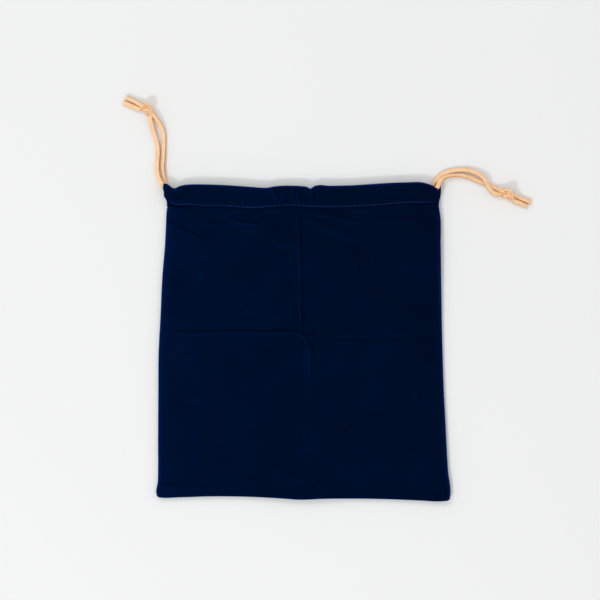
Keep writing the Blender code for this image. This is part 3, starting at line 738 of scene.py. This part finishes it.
def near_line(x, y, places):
    """Distance to a line through places, and how far along it the nearest point is, 0 to 1."""
    line = smooth_curve([(px, py, 0.0) for px, py in places], 2.0)[:, :2]
    best = np.full(x.shape, 1e9)
    along = np.zeros(x.shape)
    for n, (start, end) in enumerate(zip(line, line[1:])):
        step = end - start
        part = np.clip(((x - start[0]) * step[0] + (y - start[1]) * step[1]) / (step @ step), 0.0, 1.0)
        gap = np.hypot(x - start[0] - part * step[0], y - start[1] - part * step[1])
        closer = gap < best
        best = np.where(closer, gap, best)
        along = np.where(closer, (n + part) / (len(line) - 1), along)
    return best, along


def fold_relief(x, y):
    """Height and rubbed pile that the front panel's folds, wrinkles and marks add; on the ridges the lighter
    pile is partly a painted highlight.
    """
    height = np.zeros(x.shape)
    nap = np.zeros(x.shape)
    for places, half, rise, rub in FOLDS:
        gap, along = near_line(x, y, places)
        fade = smooth(np.minimum(along, 1.0 - along) * 5.0)
        shape = np.exp(-(gap / half) ** 2) * fade
        height += rise * shape
        # Lighter pile along each fold: partly rubbed pile, partly a painted highlight on the ridge.
        nap += RUBBED_PILE_AND_RIDGE_HIGHLIGHT * rub * np.exp(-(gap / (0.7 * half)) ** 2) * fade
    for px, py, half, rub in MARKS:
        nap += NAP_MARK * rub * np.exp(-((x - px) ** 2 + (1.6 * (y - py)) ** 2) / half ** 2)
    return height, nap


def painted_light_and_shade(x, y, height):
    """Painted light and shade on the pile: lighter on slopes that face the key light at the bottom left,
    darker on slopes that face away, a painted rim sheen along the sides, and a painted fall-off of light from
    left to right.
    """
    if len(x) < 2:
        return np.zeros(x.shape)
    across = np.gradient(height, axis=1) / np.gradient(x, axis=1)
    up = np.gradient(height, axis=0) / np.gradient(y, axis=0)
    # Painted light and shade: slopes facing the key light at the bottom left are lightened, slopes facing
    # away are darkened.
    painted_slope_shade = PAINTED_SLOPE_SHADE * (0.65 * across + 0.76 * up)
    painted_slope_shade = np.where(painted_slope_shade > 0, PAINTED_SLOPE_LIGHT * painted_slope_shade, PAINTED_SLOPE_DARK * painted_slope_shade)
    # Painted rim sheen: lighter along both sides of the panel, and a little lighter over a wider band along
    # its left side.
    painted_rim_sheen = 0.55 * np.exp(-(side_gap(x) / 1.1) ** 2) + 0.07 * np.exp(-((x - x[:, :1]) / 6.5) ** 4)
    # Painted fall-off of light across the panel: lighter at the left, darker at the right.
    return np.clip(painted_slope_shade, -0.95, 0.9) + painted_rim_sheen - PAINTED_LIGHT_SWEEP * x / 100.0


def panel_sheet(right_edge):
    """Places of a panel's outer layer, as rows from the bottom fold to the top fold."""
    turn_out = (PRESS + CLOTH) / 2
    casing_out = (CHANNEL + CLOTH) / 2
    columns = graded(0.0, 200.0, 1.25, 0.75, [(100.0, 14.0), (0.0, 3.0), (200.0, 3.0)]) / 200.0
    low = graded(0.0, 196.0, 1.4, 0.75, [(0.0, 3.0), (116.0, 8.0), (186.0, 12.0)]) / 196.0
    high = graded(casing_out, 27.0, 0.9, 0.8, [])[::-1]
    x = np.tile(-101.0 + 198.0 * columns, (len(low) + len(high) - 1, 1))
    low_share = np.tile(low[:, None], (1, len(columns)))
    for _ in range(3):
        floor_y = read_edge(BOTTOM_EDGE, x[:len(low)]) + turn_out
        y_low = floor_y + low_share * (at_depth(x[:len(low)], 27.0) - floor_y)
        y_high = at_depth(x[len(low):], high[1:, None])
        y = np.vstack((y_low, y_high))
        inset = np.where(casing_depth(x, y) > SLIT_DEPTH, turn_out, 0.0)
        left = read_edge(LEFT_EDGE, y) + inset
        right = read_edge(right_edge, y) - inset
        x = left + columns * (right - left)
    slit_row = int(np.searchsorted(-casing_depth(x, y)[:, 0], -SLIT_DEPTH))
    return x, y, slit_row


def side_gap(x):
    """Distance to the nearer side of the panel."""
    return np.minimum(x - x[:, :1], x[:, -1:] - x)


def front_heights(x, y):
    """Height of the front panel's outer layer, and its pile value with painted light and shade added."""
    depth = casing_depth(x, y)
    from_bottom = y - y[:1]
    side = 1.0 - smooth((side_gap(x) - RIM_FLAT) / RIM_SLOPE)
    bottom = 1.0 - smooth((from_bottom - RIM_FLAT) / RIM_SLOPE)
    hem = 1.0 - smooth((depth - SLIT_DEPTH) / HEM_SLOPE)
    rise = np.maximum(np.maximum(side, bottom), hem)
    middle = layer_height(1) + MIDDLE_LOFT
    opened = layer_height(0) + 2 * CHANNEL + PRESS - layer_height(3)
    lanes = LANE_RIPPLE * np.cos((depth - UPPER_LANE) / (LOWER_LANE - UPPER_LANE) * 2 * math.pi)
    height = middle + (layer_height(3) - middle) * rise + (opened + lanes) * channel_rise(depth)
    pinch = FRONT_PINCH * np.exp(-((depth - STITCH_DEPTH) / PINCH_WIDTH) ** 2)
    relief, nap = fold_relief(x, y)
    # Painted light and shade from the relief's slopes, a painted rim sheen and a painted left-to-right
    # fall-off of light.
    painted_shading = painted_light_and_shade(x, y, relief - pinch)
    relief = np.maximum(relief, -0.03 - 2.0 * (1.0 - channel_rise(depth)))
    return height - pinch + relief + whole_lift(x, y), nap + painted_shading


def back_heights(x, y):
    """Height and pile of the back panel's outer layer."""
    depth = casing_depth(x, y)
    pinch = BACK_PINCH * np.exp(-((depth - STITCH_DEPTH) / PINCH_WIDTH) ** 2)
    return layer_height(0) + pinch + whole_lift(x, y), np.zeros(x.shape)


def turn_profile(steps, change):
    """Outward and upward travel of a half-round fold, in steps."""
    angle = math.pi * np.arange(1, steps + 1) / steps
    return abs(change) / 2 * np.sin(angle), change / 2 * (1.0 - np.cos(angle))


def allowance_rows(edge, outward, along, change, mitre_far_end):
    """Points of a turned-in seam allowance: the fold, then the flat strip inside."""
    out, up = turn_profile(TURN_STEPS, change)
    rows = [edge + outward * o + UP * u for o, u in zip(out, up)]
    from_start = np.linalg.norm(edge - edge[0], axis=1)
    from_end = np.linalg.norm(edge - edge[-1], axis=1)
    for share in ALLOWANCE_SHARES:
        inward = ALLOWANCE * share
        shift = (inward + MITRE_GAP) * (1.0 - smooth(from_start / MITRE_LENGTH))
        if mitre_far_end:
            shift -= (inward + MITRE_GAP) * (1.0 - smooth(from_end / MITRE_LENGTH))
        rows.append(rows[TURN_STEPS - 1] - outward * inward + shift[:, None] * along)
    return rows


def casing_rows(edge, change, flap_base):
    """Points of the top fold and of the flap that it lays inside the panel."""
    out, up = turn_profile(CASING_STEPS, change)
    share = (edge[:, 0] - edge[0, 0]) / (edge[-1, 0] - edge[0, 0])
    inner_x = FLAP_SPAN[0] + share * (FLAP_SPAN[1] - FLAP_SPAN[0])
    rows = []
    for k, (o, u) in enumerate(zip(out, up), start=1):
        moved = max(0.0, 2.0 * k / CASING_STEPS - 1.0)
        x = edge[:, 0] + (inner_x - edge[:, 0]) * moved
        y = edge[:, 1] + read_edge(TOP_EDGE, x) - read_edge(TOP_EDGE, edge[:, 0])
        rows.append(np.column_stack((x, y + o, edge[:, 2] + u)))
    for depth in FLAP_DEPTHS:
        y = at_depth(inner_x, depth)
        z = flap_base + (CHANNEL - PRESS) * channel_rise(depth) + whole_lift(inner_x, y)
        rows.append(np.column_stack((inner_x, y, z)))
    return rows


def make_panel(name, right_edge, heights, up_sign, material):
    """One velvet panel: a single sheet with its casing and seam allowances folded in."""
    x, y, slit_row = panel_sheet(right_edge)
    z, nap = heights(x, y)
    grid = np.stack((x, y, z), axis=-1)
    rows, columns = x.shape
    points = [grid.reshape(-1, 3)]
    pile_and_painted_light = [nap.reshape(-1)]
    faces = []
    index = np.arange(rows * columns).reshape(rows, columns)
    faces.append(quads(index))
    total = rows * columns
    flap_base = layer_height(1) if up_sign > 0 else layer_height(2)
    edges = [
        (index[:slit_row, 0], lambda e: allowance_rows(e, np.array((-1.0, 0, 0)), np.array((0, 1.0, 0)),
                                                       up_sign * PRESS, False)),
        (index[:slit_row, -1], lambda e: allowance_rows(e, np.array((1.0, 0, 0)), np.array((0, 1.0, 0)),
                                                        up_sign * PRESS, False)),
        (index[0, :], lambda e: allowance_rows(e, np.array((0, -1.0, 0)), np.array((1.0, 0, 0)),
                                               up_sign * PRESS, True)),
        (index[-1, :], lambda e: casing_rows(e, up_sign * CHANNEL, flap_base)),
    ]
    flat = grid.reshape(-1, 3)
    for line, make_rows in edges:
        added = make_rows(flat[line])
        block = np.vstack([line[None, :], total + np.arange(len(added) * len(line)).reshape(len(added), -1)])
        faces.append(quads(block))
        points.extend(added)
        # The folded edges and seam allowances get a painted rim sheen in their pile value.
        pile_and_painted_light.extend(np.full(len(line), PAINTED_RIM_SHEEN) for _ in added)
        total += len(added) * len(line)
    data = bpy.data.meshes.new(name)
    data.from_pydata((np.vstack(points) * MM).tolist(), [], np.vstack(faces).tolist())
    # The nap attribute: rubbed pile and marks, with painted light, painted shade and painted rim sheen added.
    attribute = data.attributes.new("nap", 'FLOAT', 'POINT')
    attribute.data.foreach_set("value", np.clip(np.concatenate(pile_and_painted_light), -1.0, 1.0).astype(np.float32))
    obj = bpy.data.objects.new(name, data)
    bpy.context.collection.objects.link(obj)
    tidy_normals(data)
    data.materials.append(material)
    data.shade_smooth()
    thick = obj.modifiers.new("cloth", 'SOLIDIFY')
    thick.thickness = CLOTH * MM
    thick.offset = 0.0
    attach(obj, "root")
    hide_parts(name)


def quads(index):
    """Faces of a grid of point numbers."""
    a, b = index[:-1, :-1], index[:-1, 1:]
    c, d = index[1:, 1:], index[1:, :-1]
    return np.stack((a, b, c, d), axis=-1).reshape(-1, 4)


def tidy_normals(data):
    """Turns all faces of a mesh the same way."""
    mesh = bmesh.new()
    mesh.from_mesh(data)
    bmesh.ops.recalc_face_normals(mesh, faces=mesh.faces)
    mesh.to_mesh(data)
    mesh.free()


# ---------------------------------------------------------------- thread

def stitch_row(name, line, face, material):
    """Stitches along a line of (x, y, z) places; face is +1 for thread on top, -1 underneath."""
    line = even_points(np.array(line, float), STITCH_PITCH / STITCH_PARTS)
    corners = []
    faces = []
    ring = np.linspace(0.0, 2 * math.pi, THREAD_SIDES, endpoint=False)
    for begin in range(0, len(line) - STITCH_PARTS, STITCH_PARTS):
        span = line[begin:begin + STITCH_PARTS]
        heading = span[-1] - span[0]
        heading[2] = 0.0
        heading /= np.linalg.norm(heading)
        across = np.cross(UP, heading)
        shares = np.array(STITCH_SHARES)
        rises = np.array(STITCH_RISES) * face
        sway = STITCH_SWAY * math.sin(begin * 1.7)
        middle = span[0] + (span[-1] - span[0]) * shares[:, None]
        middle = middle + UP * rises[:, None] + across * (sway * np.sin(shares * math.pi))[:, None]
        start = len(corners)
        for centre in middle:
            for angle in ring:
                corners.append(centre + (across * math.cos(angle) + UP * math.sin(angle)) * THREAD_RADIUS)
        for i in range(len(middle) - 1):
            for k in range(THREAD_SIDES):
                after = (k + 1) % THREAD_SIDES
                low = start + i * THREAD_SIDES
                high = low + THREAD_SIDES
                faces.append((low + k, low + after, high + after, high + k))
        faces.append(tuple(start + k for k in range(THREAD_SIDES))[::-1])
        last = start + (len(middle) - 1) * THREAD_SIDES
        faces.append(tuple(last + k for k in range(THREAD_SIDES)))
    data = bpy.data.meshes.new(name)
    data.from_pydata((np.array(corners) * MM).tolist(), [], faces)
    data.materials.append(material)
    data.shade_smooth()
    obj = bpy.data.objects.new(name, data)
    bpy.context.collection.objects.link(obj)
    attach(obj, "root")
    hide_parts(name)


def make_stitching(material):
    """The rows of stitches below both casings, and the seam."""
    x = np.linspace(*STITCH_SPAN, 240)
    y = read_edge(STITCH_LINE, x)
    top = front_heights(x[None, :], y[None, :])[0][0] + CLOTH / 2
    stitch_row("front_casing_stitching", np.column_stack((x, y, top)), 1, material)
    under = back_heights(x[None, :], y[None, :])[0][0] - CLOTH / 2
    stitch_row("back_casing_stitching", np.column_stack((x, y, under)), -1, material)
    side_y = np.linspace(SEAM_TOP, SEAM_BOTTOM, 160)
    left = np.column_stack((read_edge(LEFT_EDGE, side_y) + SEAM_INSET, side_y))
    bottom_x = np.linspace(left[-1, 0] + 1.5, read_edge(RIGHT_EDGE, SEAM_BOTTOM) - 2.5, 160)
    bottom = np.column_stack((bottom_x, read_edge(BOTTOM_EDGE, bottom_x) + SEAM_INSET))
    right = np.column_stack((read_edge(RIGHT_EDGE, side_y) - SEAM_INSET, side_y))[::-1]
    seam = np.vstack((left, bottom, right))
    height = layer_height(1.5) + whole_lift(seam[:, 0], seam[:, 1])
    stitch_row("seam_stitching", np.column_stack((seam, height)), 1, material)


# ---------------------------------------------------------------- run

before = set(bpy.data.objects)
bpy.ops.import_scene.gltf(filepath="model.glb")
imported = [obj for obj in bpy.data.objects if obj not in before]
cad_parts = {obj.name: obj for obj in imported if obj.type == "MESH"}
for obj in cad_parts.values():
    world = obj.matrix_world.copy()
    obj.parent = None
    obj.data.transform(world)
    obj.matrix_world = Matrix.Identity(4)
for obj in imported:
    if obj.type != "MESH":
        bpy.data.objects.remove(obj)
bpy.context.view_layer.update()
make_camera()
make_stage()
suede = suede_material()
tied = tie_knot(KNOT_SPACING, KNOT_ROUNDS)
make_drawcord("left", (LEFT_FRONT_STRAND, LEFT_BACK_STRAND), LEFT_TAILS, LEFT_LANE, LOWER_LANE,
              LEFT_KNOT, LEFT_TURNS, tied, suede)
make_drawcord("right", (RIGHT_FRONT_STRAND, RIGHT_BACK_STRAND), RIGHT_TAILS, RIGHT_LANE, UPPER_LANE,
              RIGHT_KNOT, RIGHT_TURNS, tied, suede)
velvet = velvet_material()
make_panel("back_panel", BACK_RIGHT_EDGE, back_heights, 1, velvet)
make_panel("front_panel", RIGHT_EDGE, front_heights, -1, velvet)
make_stitching(thread_material())
